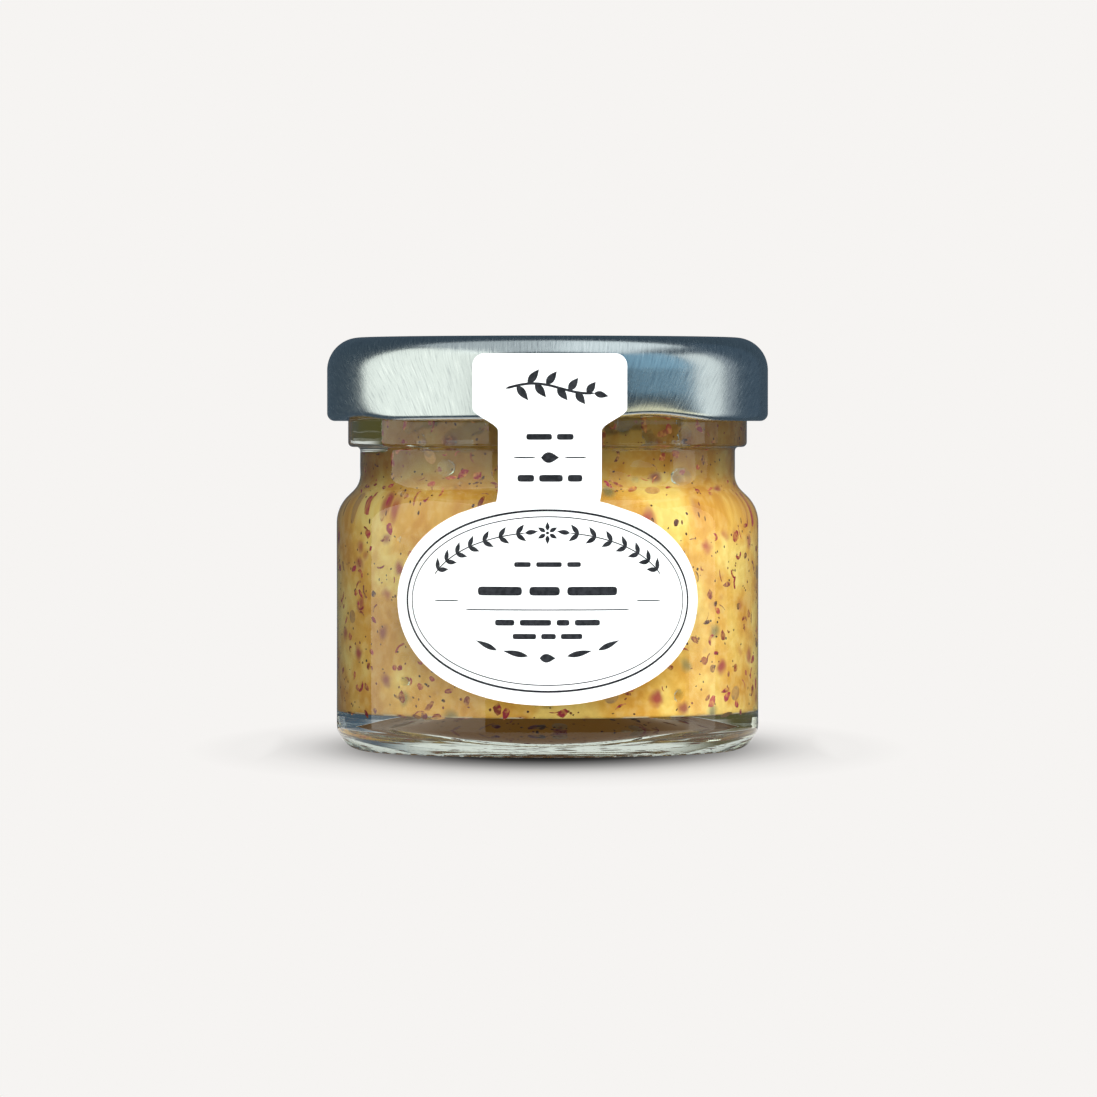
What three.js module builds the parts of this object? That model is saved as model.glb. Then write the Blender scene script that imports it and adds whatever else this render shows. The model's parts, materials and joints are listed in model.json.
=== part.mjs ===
// A small round glass jar of wholegrain mustard, shut with a twist-off metal lid.
// A white paper seal covers the front: an oval on the body, a narrow strip up past the neck,
// and a tab on the lid. Millimetres, +Z up. The origin is on the jar's axis, on the surface
// that the jar stands on, and the seal faces -Y.
import * as THREE from "three";

// Driving dimensions of the whole jar
const totalHeight = 43.0;
const bodyRadius = 22.0;
const neckRadius = 19.55;
const beadRadius = 20.8;
const lidRadius = 23.0;
const lidHeight = 8.7;
const lidBottom = totalHeight - lidHeight;

// Glass: outside
const bearingInner = 16.84; // the flat ring that the jar stands on
const heelRadius = 2.8;
const pushUpFoot = 1.49; // the underside is pushed up inside the ring: steeply at its foot
const footCurve = 35.5;
const pushUpCrown = 4.35; // and more gently towards its middle
const crownCurve = 1.21;
const shoulderStart = 23.7; // top of the straight body
const shoulderRound = 3.9;
const shoulderHollow = 2.4;
const shoulderAngle = 46; // slope between the two shoulder arcs, from the vertical, in degrees
const beadBottom = 31.6;
const beadTop = 34.8;
const beadRound = 0.5;
const beadFillet = 0.4;
const finishRadius = 20.1; // the threaded top of the neck, hidden by the lid
const lipTop = 42.3;
const lipRound = 0.7;

// Glass: inside
const wall = 3.6;
const mouthRadius = 17.4;
const neckBoreRadius = 16.9;
const floorHeight = 4.0; // at the foot of the wall
const floorDome = 3.72; // how much higher the floor is in its middle
const floorCurve = 3.0;
const floorRound = 0.2;
const boreShoulderStart = 19.5;
const boreShoulderEnd = 30.0;

// Lid
const sheet = 0.3; // tinplate with its lacquer
const lidRound = 3.4;
const panelRadius = 16.6;
const panelStep = 0.8; // width of the step between the raised rim and the panel
const panelDrop = 0.45;
const curlRadius = 0.8;
const curlTurn = 240; // how far the skirt's lower edge is rolled in, in degrees
const skirtAboveCurl = 1.6; // from the curl's centre to where the skirt's inside starts
const lugCount = 4;
const lugAngle = 28; // first lug, to the right of the front, in degrees
const lugHalfWidth = 21; // in degrees
const lugHeight = 3.0; // how far up the skirt a lug's dent reaches
const lugDent = 0.35;
const lugLift = 0.5; // how far the curl's edge is raised at a lug

// Mustard
const mustardGap = 0.2; // to the glass
const mustardTop = 35.0;
const mustardMound = 0.5;

// Paper seal
const paper = 0.15;
const paperGap = 0.1;
const ovalHalfWidth = 16.95; // measured round the body
const ovalHalfHeight = 10.6;
const ovalCentre = 16.05;
const stripHalfWidth = 5.3;
const tabHalfWidth = 8.0;
const tabTop = 41.15;
const tabCorner = 1.25;
const taperBottom = 33.3; // where the strip starts to widen into the tab
const taperTop = 35.6;
const sealLeaves = 24.2; // the seal leaves the body here and runs straight up to the lid
const sealLands = 35.0;

// How fine the round shapes are
const segments = 60;
const ovalRows = 17;
const tabRows = 17;
const sealColumns = 12;
const footShare = 0.4; // the lowest row is this share of a step up, so that it has some width
const floorShares = [0, 0.4, 0.6, 0.77, 0.9]; // rings of the floor, from the axis
const pushUpShares = [0, 0.35, 0.7, 0.92, 0.97]; // and of the underside

const { clamp, degToRad, euclideanModulo, lerp, radToDeg, smoothstep } = THREE.MathUtils;

// Points along an arc of a profile, from one angle to another, in degrees
function arc(centreR, centreZ, radius, from, to, steps) {
  const points = [];
  for (let i = 0; i <= steps; i += 1) {
    const angle = degToRad(lerp(from, to, i / steps));
    points.push(
      new THREE.Vector2(centreR + radius * Math.cos(angle), centreZ + radius * Math.sin(angle)),
    );
  }
  return points;
}

function at(r, z) {
  return new THREE.Vector2(r, z);
}

// A smooth step from one radius to another, as the inside of a blown shoulder has
function easedStep(fromR, fromZ, toR, toZ, steps) {
  const points = [];
  for (let i = 0; i <= steps; i += 1) {
    const share = i / steps;
    const eased = share * share * (3 - 2 * share);
    points.push(at(lerp(fromR, toR, eased), lerp(fromZ, toZ, share)));
  }
  return points;
}

// Turns a profile round the jar's upright axis
function turned(profile) {
  return new THREE.LatheGeometry(profile, segments).rotateX(Math.PI / 2);
}

// The inside of the jar, from the centre of its floor up to below the mouth, taken in by a gap
function boreProfile(gap) {
  const radius = bodyRadius - wall - gap;
  const flat = bodyRadius - wall - floorRound;
  const floorAt = (r) => floorHeight + gap + floorDome * (1 - (r / flat) ** floorCurve);
  const corner = radius - floorRound;
  return [
    ...floorShares.map((share) => at(flat * share, floorAt(flat * share))),
    ...arc(corner, floorAt(corner) + floorRound, floorRound, -90, 0, 2),
    ...easedStep(radius, boreShoulderStart, neckBoreRadius - gap, boreShoulderEnd, 6),
  ];
}

function glassGeometry() {
  const heelCentre = bodyRadius - heelRadius;
  const hollowStart = bodyRadius - shoulderRound * (1 - Math.cos(degToRad(shoulderAngle)));
  const hollowReach = shoulderHollow * (1 - Math.cos(degToRad(shoulderAngle)));
  const slopeHeight =
    (hollowStart - hollowReach - neckRadius) / Math.tan(degToRad(shoulderAngle));
  const hollowTop =
    shoulderStart +
    (shoulderRound + shoulderHollow) * Math.sin(degToRad(shoulderAngle)) +
    slopeHeight;
  const pushUp = (share) =>
    at(
      bearingInner * share,
      pushUpFoot * (1 - share ** footCurve) + pushUpCrown * (1 - share ** crownCurve),
    );
  const outside = [
    ...pushUpShares.map(pushUp),
    at(bearingInner, 0),
    ...arc(heelCentre, heelRadius, heelRadius, -90, 0, 5),
    ...arc(bodyRadius - shoulderRound, shoulderStart, shoulderRound, 0, shoulderAngle, 5),
    ...arc(neckRadius + shoulderHollow, hollowTop, shoulderHollow, 180 + shoulderAngle, 180, 4),
    ...arc(neckRadius + beadFillet, beadBottom - beadFillet, beadFillet, 180, 90, 2),
    ...arc(beadRadius - beadRound, beadBottom + beadRound, beadRound, -90, 0, 2),
    at(beadRadius, beadTop - beadRound),
    at(beadRadius - beadRound, beadTop),
    at(finishRadius, beadTop),
    ...arc(finishRadius - lipRound, lipTop - lipRound, lipRound, 0, 90, 2),
  ];
  const lip = arc(mouthRadius + lipRound, lipTop - lipRound, lipRound, 90, 180, 2);
  return turned([...outside, ...lip, ...boreProfile(0).reverse()]);
}

function mustardGeometry() {
  const share = (mustardTop - boreShoulderEnd) / (lipTop - lipRound - boreShoulderEnd);
  const edge = at(lerp(neckBoreRadius, mouthRadius, share) - mustardGap, mustardTop);
  return turned([...boreProfile(mustardGap), edge, at(0, mustardTop + mustardMound)]);
}

// 1 in the middle of the nearest lug and 0 between lugs
function lugShare(x, y) {
  const angle = radToDeg(Math.atan2(x, -y)) - lugAngle;
  const pitch = 360 / lugCount;
  const offset = euclideanModulo(angle + pitch / 2, pitch) - pitch / 2;
  return Math.abs(offset) < lugHalfWidth
    ? Math.cos((offset / lugHalfWidth) * (Math.PI / 2)) ** 2
    : 0;
}

// Presses the lugs into the lower edge of the skirt: the curl goes in and up there
function pressLugs(geometry) {
  const position = geometry.attributes.position;
  const point = new THREE.Vector3();
  for (let i = 0; i < position.count; i += 1) {
    point.fromBufferAttribute(position, i);
    const height = (point.z - lidBottom) / lugHeight;
    const radius = Math.hypot(point.x, point.y);
    if (height >= 1 || radius < lidRadius / 2) continue;
    const amount = lugShare(point.x, point.y) * (1 - height) ** 2;
    const inward = (radius - lugDent * amount) / radius;
    position.setXYZ(i, point.x * inward, point.y * inward, point.z + lugLift * amount);
  }
  return geometry;
}

function lidGeometry() {
  const cornerCentre = lidRadius - lidRound;
  const cornerHeight = totalHeight - lidRound;
  const curlCentre = lidRadius - curlRadius;
  const curlHeight = lidBottom + curlRadius;
  const outside = [
    at(0, totalHeight - panelDrop),
    at(panelRadius, totalHeight - panelDrop),
    at(panelRadius + panelStep, totalHeight),
    ...arc(cornerCentre, cornerHeight, lidRound, 90, 0, 6),
    at(lidRadius, lidBottom + lugHeight),
    ...arc(curlCentre, curlHeight, curlRadius, 0, -curlTurn, 8),
  ];
  const inside = [
    at(lidRadius - sheet, curlHeight + skirtAboveCurl),
    ...arc(cornerCentre, cornerHeight, lidRound - sheet, 0, 90, 5),
    at(panelRadius + panelStep, totalHeight - sheet),
    at(panelRadius, totalHeight - panelDrop - sheet),
    at(0, totalHeight - panelDrop - sheet),
  ];
  return pressLugs(turned([...outside, ...inside].reverse()));
}

// Half the seal's width at a height: the oval, the strip, and the tab with its taper and corners
function sealHalfWidth(z) {
  const up = (z - ovalCentre) / ovalHalfHeight;
  const oval = ovalHalfWidth * Math.sqrt(Math.max(0, 1 - up * up));
  if (z < ovalCentre) return oval;
  const taper = smoothstep(z, taperBottom, taperTop);
  const intoCorner = Math.max(0, z - (tabTop - tabCorner));
  const corner = tabCorner - Math.sqrt(Math.max(0, tabCorner ** 2 - intoCorner ** 2));
  return Math.max(oval, lerp(stripHalfWidth, tabHalfWidth, taper) - corner);
}

// Radius of the surface that the seal follows, lifted off it by a distance
function sealRadius(z, lift) {
  const cornerHeight = totalHeight - lidRound;
  if (z > cornerHeight) {
    const rise = z - cornerHeight;
    return lidRadius - lidRound + Math.sqrt((lidRound + lift) ** 2 - rise ** 2);
  }
  const share = clamp((z - sealLeaves) / (sealLands - sealLeaves), 0, 1);
  return lerp(bodyRadius, lidRadius, share) + lift;
}

// Heights of the seal's rows, closer together at the ends of the oval and at the tab's corners
function sealHeights() {
  const heights = [];
  for (let i = 0; i <= ovalRows; i += 1) {
    const turn = (Math.PI * (i + footShare)) / (ovalRows + footShare);
    heights.push(ovalCentre - ovalHalfHeight * Math.cos(turn));
  }
  for (let i = 1; i <= tabRows; i += 1) {
    const share = Math.sin(((i / tabRows) * Math.PI) / 2);
    heights.push(lerp(ovalCentre + ovalHalfHeight, tabTop, share));
  }
  return heights;
}

// The seal as two curved faces, front and back, closed by a strip round their edge
function sealGeometry() {
  const heights = sealHeights();
  const vertices = [];
  const across = sealColumns + 1;
  for (const lift of [paperGap, paperGap + paper]) {
    for (const z of heights) {
      const radius = sealRadius(z, lift);
      const halfAngle = sealHalfWidth(z) / radius;
      for (let column = 0; column < across; column += 1) {
        const angle = lerp(-halfAngle, halfAngle, column / sealColumns);
        vertices.push(radius * Math.sin(angle), -radius * Math.cos(angle), z);
      }
    }
  }
  const rows = heights.length;
  const index = (layer, row, column) => (layer * rows + row) * across + column;
  const faces = [];
  const quad = (a, b, c, d) => faces.push(a, b, c, a, c, d);
  for (let row = 0; row + 1 < rows; row += 1) {
    for (let column = 0; column < sealColumns; column += 1) {
      const corners = [
        [row, column],
        [row, column + 1],
        [row + 1, column + 1],
        [row + 1, column],
      ];
      quad(...corners.map(([r, c]) => index(1, r, c)));
      quad(...corners.reverse().map(([r, c]) => index(0, r, c)));
    }
  }
  const rim = [];
  for (let column = 0; column < sealColumns; column += 1) rim.push([0, column]);
  for (let row = 0; row + 1 < rows; row += 1) rim.push([row, sealColumns]);
  for (let column = sealColumns; column > 0; column -= 1) rim.push([rows - 1, column]);
  for (let row = rows - 1; row > 0; row -= 1) rim.push([row, 0]);
  rim.forEach(([row, column], i) => {
    const [nextRow, nextColumn] = rim[(i + 1) % rim.length];
    quad(
      index(0, row, column),
      index(0, nextRow, nextColumn),
      index(1, nextRow, nextColumn),
      index(1, row, column),
    );
  });
  const geometry = new THREE.BufferGeometry();
  geometry.setAttribute("position", new THREE.Float32BufferAttribute(vertices, 3));
  geometry.setIndex(faces);
  geometry.computeVertexNormals();
  return geometry;
}

function piece(name, geometry, color, roughness, metalness) {
  const material = new THREE.MeshStandardMaterial({ color, roughness, metalness });
  const mesh = new THREE.Mesh(geometry, material);
  mesh.name = name;
  return mesh;
}

const jar = new THREE.Group();
jar.add(
  piece("glass_jar", glassGeometry(), 0xdfeae3, 0.04, 0),
  piece("mustard", mustardGeometry(), 0xd9a94f, 0.45, 0),
  piece("lid", lidGeometry(), 0xc9d0cf, 0.3, 1),
  piece("paper_seal", sealGeometry(), 0xf7f8f8, 0.55, 0),
);

export default jar;
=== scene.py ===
import json
import random
from math import atan2, ceil, copysign, cos, degrees, dist, hypot, pi, radians, sin, sqrt, tan, tau

import bpy
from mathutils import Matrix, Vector, noise

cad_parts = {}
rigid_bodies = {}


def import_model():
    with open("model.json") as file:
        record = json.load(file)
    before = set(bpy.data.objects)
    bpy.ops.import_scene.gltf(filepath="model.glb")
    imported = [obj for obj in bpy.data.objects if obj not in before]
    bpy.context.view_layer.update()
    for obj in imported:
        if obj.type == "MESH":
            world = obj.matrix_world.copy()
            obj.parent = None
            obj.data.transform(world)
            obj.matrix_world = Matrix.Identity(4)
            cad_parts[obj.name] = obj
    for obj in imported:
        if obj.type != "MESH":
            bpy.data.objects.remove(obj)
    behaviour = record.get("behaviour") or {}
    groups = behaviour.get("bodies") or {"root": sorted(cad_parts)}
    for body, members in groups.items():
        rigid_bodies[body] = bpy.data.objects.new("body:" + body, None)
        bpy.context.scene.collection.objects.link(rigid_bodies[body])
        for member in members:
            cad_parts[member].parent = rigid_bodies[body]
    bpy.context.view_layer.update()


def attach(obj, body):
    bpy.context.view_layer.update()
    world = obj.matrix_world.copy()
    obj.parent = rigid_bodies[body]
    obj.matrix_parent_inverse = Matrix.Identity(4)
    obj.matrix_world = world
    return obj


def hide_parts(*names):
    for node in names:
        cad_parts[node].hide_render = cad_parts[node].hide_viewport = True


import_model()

scene = bpy.context.scene
mm = 0.001


def linear(hexColour):
    # sRGB hex to the linear colour that the shaders want
    parts = [int(hexColour[i:i + 2], 16) / 255 for i in (1, 3, 5)]
    return [p / 12.92 if p <= 0.04045 else ((p + 0.055) / 1.055) ** 2.4 for p in parts] + [1.0]


def addNode(tree, kind, inputs=None):
    # adds one node and gives its outputs; each name is a property or an input, and a socket is linked to it
    node = tree.nodes.new(kind)
    for name, value in (inputs or {}).items():
        if isinstance(value, bpy.types.NodeSocket):
            tree.links.new(value, node.inputs[name])
        elif isinstance(name, str) and hasattr(node, name):
            setattr(node, name, value)
        else:
            node.inputs[name].default_value = value
    return node.outputs


def mixColours(tree, share, first, second, blend="MIX"):
    return addNode(tree, "ShaderNodeMix", {
        "data_type": "RGBA", "blend_type": blend, 0: share, 6: first, 7: second})[2]


def mixValues(tree, share, first, second):
    return addNode(tree, "ShaderNodeMix", {"data_type": "FLOAT", 0: share, 2: first, 3: second})[0]


def calculate(tree, operation, first, second=0.0, clamp=False):
    return addNode(tree, "ShaderNodeMath", {
        "operation": operation, "use_clamp": clamp, 0: first, 1: second})[0]


def mapped(tree, value, start, end, low=0.0, high=1.0, kind="LINEAR"):
    return addNode(tree, "ShaderNodeMapRange", {
        "interpolation_type": kind, "From Min": start, "From Max": end, "To Min": low, "To Max": high,
        "Value": value})[0]


def cloudy(tree, place, size, detail=1.0, roughness=0.5):
    # soft noise with features of this size in millimetres
    return addNode(tree, "ShaderNodeTexNoise", {
        "Scale": 1 / (size * mm), "Detail": detail, "Roughness": roughness, "Vector": place})[0]


def bumped(tree, height, strength, distance):
    return addNode(tree, "ShaderNodeBump", {
        "Strength": strength, "Distance": distance * mm, "Height": height})[0]


def objectPlace(tree):
    return addNode(tree, "ShaderNodeTexCoord")["Object"]


def attribute(tree, name):
    return addNode(tree, "ShaderNodeAttribute", {"attribute_name": name})["Fac"]


def coloured(tree, value, stops, interpolation="LINEAR"):
    # a ramp whose stops are places and colours, in hex or as four linear values
    output = addNode(tree, "ShaderNodeValToRGB", {0: value})[0]
    ramp = output.node.color_ramp
    ramp.interpolation = interpolation
    for index, (place, colour) in enumerate(stops):
        element = ramp.elements[index] if index < 2 else ramp.elements.new(place)
        element.position = place
        element.color = linear(colour) if isinstance(colour, str) else colour
    return output


def startMaterial(name):
    material = bpy.data.materials.new(name)
    material.use_nodes = True
    material.node_tree.nodes.clear()
    return material, material.node_tree


def finishSurface(material, colour, roughness, specular, others=None):
    tree = material.node_tree
    shader = addNode(tree, "ShaderNodeBsdfPrincipled", {
        "Base Color": colour, "Roughness": roughness, "Specular IOR Level": specular, **(others or {})})
    addNode(tree, "ShaderNodeOutputMaterial", {"Surface": shader[0]})
    return material


def plainMaterial(name, size, detail, stops, roughness, specular):
    # one whose colour wanders between the stops, in clouds of this size in millimetres
    material, tree = startMaterial(name)
    tone = coloured(tree, cloudy(tree, objectPlace(tree), size, detail), stops)
    return finishSurface(material, tone, roughness, specular)


def makePiece(name, points, faces, material=None, sharpAngle=None):
    # a mesh object at the origin, from points in millimetres
    mesh = bpy.data.meshes.new(name)
    mesh.from_pydata([(x * mm, y * mm, z * mm) for x, y, z in points], [], faces)
    mesh.update()
    mesh.shade_smooth()
    if sharpAngle:
        mesh.set_sharp_from_angle(angle=radians(sharpAngle))
    if material:
        mesh.materials.append(material)
    piece = bpy.data.objects.new(name, mesh)
    scene.collection.objects.link(piece)
    return piece


def mix(a, b, share):
    return a + (b - a) * share


def smooth(value, low, high):
    share = min(1.0, max(0.0, (value - low) / (high - low)))
    return share * share * (3 - 2 * share)


def steps(count):
    # even shares from 0 to 1
    return [i / count for i in range(count + 1)]


# Profiles are lists of (radius, height) in millimetres
def arc(centre, radius, start, end, step=0.25):
    count = max(2, ceil(abs(radians(end - start)) * radius / step))
    angles = [radians(mix(start, end, share)) for share in steps(count)]
    return [(centre[0] + radius * cos(angle), centre[1] + radius * sin(angle)) for angle in angles]


def line(start, end, step=1.0):
    count = max(1, ceil(dist(start, end) / step))
    return [(mix(start[0], end[0], share), mix(start[1], end[1], share)) for share in steps(count)]


def joined(*parts):
    # one profile from several, without doubled points
    points = []
    for part in parts:
        for point in part:
            if not points or dist(points[-1], point) > 0.001:
                points.append(point)
    return points


def around(radius, angle, height):
    # angle 0 is the front and 90 degrees the right-hand side
    return (radius * sin(angle), -radius * cos(angle), height)


def lathe(profile, columns, place=around):
    # a closed solid from a profile that starts and ends on the axis
    points = [place(profile[0][0], 0.0, profile[0][1])]
    for radius, height in profile[1:-1]:
        points += [place(radius, tau * column / columns, height) for column in range(columns)]
    last = len(points) - columns
    points.append(place(profile[-1][0], 0.0, profile[-1][1]))
    faces = []
    for column in range(columns):
        after = (column + 1) % columns
        faces.append((0, 1 + after, 1 + column))
        for low in range(1, last, columns):
            high = low + columns
            faces.append((low + column, low + after, high + after, high + column))
        faces.append((last + column, last + after, len(points) - 1))
    return points, faces


# Camera, as the photograph has it: nearly level, long lens
photoView = {
    "distance": 0.750, "height": 0.0343, "aside": 0.0001,
    "tiltDown": 1.017,  # degrees
    "lens": 235.7, "sensor": 36.0,
}


def addCamera(view):
    data = bpy.data.cameras.new("photo view")
    data.lens = view["lens"]
    data.sensor_width = view["sensor"]
    camera = bpy.data.objects.new("photo view", data)
    camera.location = (view["aside"], -view["distance"], view["height"])
    camera.rotation_euler = (radians(90 - view["tiltDown"]), 0, 0)
    scene.collection.objects.link(camera)
    scene.camera = camera


addCamera(photoView)
print("camera placed")

# Backdrop, floor and lights
studio = {
    "pale": "#F6F4F2",
    "slate": (0.052, 0.080, 0.110),  # the dark room in a gloss, and its right-hand side through the glass
    "olive": (0.085, 0.072, 0.016),  # the curtain on the left, seen through the glass
    "ambient": (0.12, 0.123, 0.126),
    "backdrop": (0.6, 0.97),  # how far to the back the glass begins to show the pale backdrop, and fully
    "floorBounce": 0.7,  # how much of its brightness the floor throws back on matt surfaces
    "tabletop": 40.0,  # mm, how far the floor shows in a gloss
    "throughGlass": (60.0, 90.0),  # mm, where the floor seen through the glass turns to the room's sides
    "underJar": (20.5, 24.5, 0.12, 0.9),  # mm and tones, the painted shade under the jar that reflections and matt surfaces see
    "shadeCentre": 7.0,  # mm behind the axis
    "shadeLength": 0.44,  # the painted soft shade round the jar is an oval, this much narrower than it is deep
    "shadeSide": (23.0, 30.0, 0.5, 0.95),  # it fades faster at the sides: from, to, and the tone there
    # the floor's painted shade: its tone by distance in millimetres, measured across the oval, the last one
    # for full paper
    "shade": [(12.0, 0.012), (14.3, 0.044), (17.1, 0.17), (19.9, 0.34), (22.5, 0.53), (25.2, 0.68),
              (27.8, 0.775), (30.4, 0.835), (33.5, 0.875), (38.0, 0.915)],
}


def roomSides(tree, x, soft):
    # what the glass shows of the room's two sides
    return mixColours(tree, mapped(tree, x, -soft, soft), [*studio["olive"], 1.0], [*studio["slate"], 1.0])


def lightRoom(values):
    world = bpy.data.worlds.new("studio")
    scene.world = world
    world.use_nodes = True
    world.cycles.sampling_method = "NONE"
    tree = world.node_tree
    tree.nodes.clear()
    ray = addNode(tree, "ShaderNodeLightPath")
    pale = linear(values["pale"])
    towards = addNode(tree, "ShaderNodeTexCoord")["Generated"]
    axes = addNode(tree, "ShaderNodeSeparateXYZ", {0: towards})
    behind = mapped(tree, axes["Y"], *values["backdrop"], kind="SMOOTHSTEP")
    through = mixColours(tree, behind, roomSides(tree, axes["X"], 0.1), pale)
    gloss = mixColours(tree, ray["Is Glossy Ray"], [*values["ambient"], 1.0], [*values["slate"], 1.0])
    seen = mixColours(tree, ray["Is Transmission Ray"], gloss, through)
    direct = mixColours(tree, ray["Is Camera Ray"], seen, pale)
    light = addNode(tree, "ShaderNodeBackground", {"Color": direct})
    addNode(tree, "ShaderNodeOutputWorld", {"Surface": light[0]})


def floorReach(tree, place, squeeze=1.0, back=0.0):
    # a point's distance on the floor from the middle of an oval, longer along Y and further back
    moved = addNode(tree, "ShaderNodeVectorMath", {
        "operation": "MULTIPLY_ADD", 0: place, 1: (1, squeeze, 0),
        2: (0, -back * squeeze * mm, 0)})[0]
    return addNode(tree, "ShaderNodeVectorMath", {"operation": "LENGTH", 0: moved})["Value"]


def floorMaterial(values):
    # Plain pale paper sweep that glows evenly bright, with a painted soft shade close round the jar
    material, tree = startMaterial("pale floor")
    ray = addNode(tree, "ShaderNodeLightPath")
    place = objectPlace(tree)
    axes = addNode(tree, "ShaderNodeSeparateXYZ", {0: place})
    reach = floorReach(tree, place)
    across = floorReach(tree, place, values["shadeLength"], values["shadeCentre"])
    widest, brightest = values["shade"][-1]
    tones = [(at / widest, [amount / brightest] * 3 + [1.0]) for at, amount in values["shade"]]
    tone = coloured(tree, calculate(tree, "DIVIDE", across, widest * mm), tones)
    aside = calculate(tree, "ABSOLUTE", axes["X"])
    start, end, dark, plain = values["shadeSide"]
    side = mapped(tree, aside, start * mm, end * mm, dark, plain, "SMOOTHSTEP")
    outside = calculate(tree, "GREATER_THAN", aside, start * mm)
    seenTone = mixColours(tree, 1.0, tone, calculate(tree, "MULTIPLY", side, outside), "LIGHTEN")
    # painted shade under the jar, as reflections and matt surfaces see it
    inner, outer, dark, plain = values["underJar"]
    paintedContactShade = mapped(tree, reach, inner * mm, outer * mm, dark, plain, "SMOOTHSTEP")
    near = mixColours(tree, ray["Is Camera Ray"], paintedContactShade, seenTone)
    colour = mixColours(tree, 1.0, near, linear(values["pale"]), "MULTIPLY")
    bounce = mapped(tree, ray["Is Diffuse Ray"], 0.0, 1.0, 1.0, values["floorBounce"])
    start, end = values["throughGlass"]
    beyond = mapped(tree, reach, start * mm, end * mm, kind="SMOOTHSTEP")
    darker = calculate(tree, "MULTIPLY", beyond, ray["Is Transmission Ray"])
    shown = mixColours(tree, darker, colour, roomSides(tree, axes["X"], 10 * mm))
    light = addNode(tree, "ShaderNodeEmission", {"Color": shown, "Strength": bounce})
    # past the table's edge a reflection looks down beside it
    away = calculate(tree, "GREATER_THAN", reach, values["tabletop"] * mm)
    mirrored = calculate(tree, "SUBTRACT", ray["Is Glossy Ray"], ray["Is Transmission Ray"], clamp=True)
    gap = addNode(tree, "ShaderNodeBsdfTransparent")
    surface = addNode(tree, "ShaderNodeMixShader", {
        0: calculate(tree, "MULTIPLY", away, mirrored), 1: light[0], 2: gap[0]})
    addNode(tree, "ShaderNodeOutputMaterial", {"Surface": surface[0]})
    return material


def addFloor(material):
    rim = 96
    points = [(0, 0, 0)] + [around(3000.0, tau * i / rim, 0.0) for i in range(rim)]
    faces = [(0, 1 + i, 1 + (i + 1) % rim) for i in range(rim)]
    floor = makePiece("floor", points, faces, material)
    floor.visible_shadow = False


# Each lamp: where it stands, what it faces, its width and height in metres, its brightness, its colour,
# and what it lights: glosses, matt surfaces, those under the label as well, or the label alone
jarMiddle = (0, 0, 0.02)
lamps = {
    "left softbox": ((-0.523, -0.17, 0.3), (0, 0, 0.3), (0.875, 1.2), 1.27, "#FEFFF5", "gloss"),
    "ceiling panel": ((0, -0.05, 0.6), (0, -0.05, 0), (0.74, 0.58), 0.62, "#F1F6F8", "gloss"),
    "ceiling panel right": ((0.24, -0.05, 0.61), (0.24, -0.05, 0), (0.44, 0.58), 0.5, "#F1F6F8", "gloss"),
    "right strip": ((0.55, 0.019, 0.08), (0, 0, 0.08), (0.2, 0.76), 0.85, "#F5F8F3", "gloss"),
    "right strip glow": ((0.54, 0.063, 0.09), (0, 0, 0.09), (0.34, 0.78), 0.27, "#EEF3F8", "gloss"),
    "blue side panel": ((0.469, -0.287, 0.334), (0, 0, 0.334), (0.41, 0.6), 1.15, "#7DA3BA", "gloss"),
    "right back glow": ((0.45, 0.315, 0.2), (0, 0, 0.2), (0.4, 1), 0.06, "#8FB0D8", "gloss"),
    "low card": ((0.221, -0.117, -0.068), (0, 0, -0.068), (0.2, 0.09), 1.2, "#E6DCB4", "gloss"),
    "key": ((0.115, -0.819, 0.667), jarMiddle, (0.9, 0.6), 3.7, "#FFFFFF", "matt"),
    "key under label": ((0.115, -0.819, 0.667), jarMiddle, (0.9, 0.6), 3, "#FFFFFF", "matt under label"),
    "side key": ((0.799, -0.214, 0.667), jarMiddle, (0.9, 0.6), 3.7, "#FFFFFF", "matt"),
    "front fill": ((0.18, -1.02, 0.16), jarMiddle, (0.9, 0.3), 2.6, "#FFFFFF", "matt"),
    "label light": ((-0.6, -0.5, 0.3), jarMiddle, (0.5, 0.6), 4.1, "#FFFFFF", "label"),
    "label light right": ((0.65, -0.45, 0.3), jarMiddle, (0.5, 0.6), 2, "#FFFFFF", "label"),
}


def addLamp(name, at, face, size, brightness, colour, lights):
    data = bpy.data.lights.new(name, "AREA")
    data.shape = "RECTANGLE"
    data.size, data.size_y = size
    data.energy = brightness * pi * data.size * data.size_y
    data.color = linear(colour)[:3]
    lamp = bpy.data.objects.new(name, data)
    lamp.location = at
    aim = Vector(face) - Vector(at)
    lamp.rotation_euler = aim.to_track_quat("-Z", "Y").to_euler()
    lamp.visible_camera = False
    lamp.visible_diffuse = lights != "gloss"
    lamp.visible_glossy = lights == "gloss"
    lamp.visible_transmission = lights == "gloss"
    if lights == "label":
        lamp.light_linking.receiver_collection = labelPieces
    if lights == "matt under label":
        lamp.light_linking.blocker_collection = letThrough
    scene.collection.objects.link(lamp)


labelPieces = bpy.data.collections.new("label pieces")  # the paper and its print, for their own lamp
letThrough = bpy.data.collections.new("let light through")  # the glass bends light in under the label's edge
lightRoom(studio)
addFloor(floorMaterial(studio))
for lampName, lampValues in lamps.items():
    addLamp(lampName, *lampValues)
scene.view_settings.view_transform = "Standard"
scene.view_settings.look = "None"
scene.cycles.use_denoising = True
scene.cycles.max_bounces = 16
scene.cycles.transmission_bounces = 12
scene.cycles.glossy_bounces = 12
scene.cycles.diffuse_bounces = 4
print("room lit")

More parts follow.
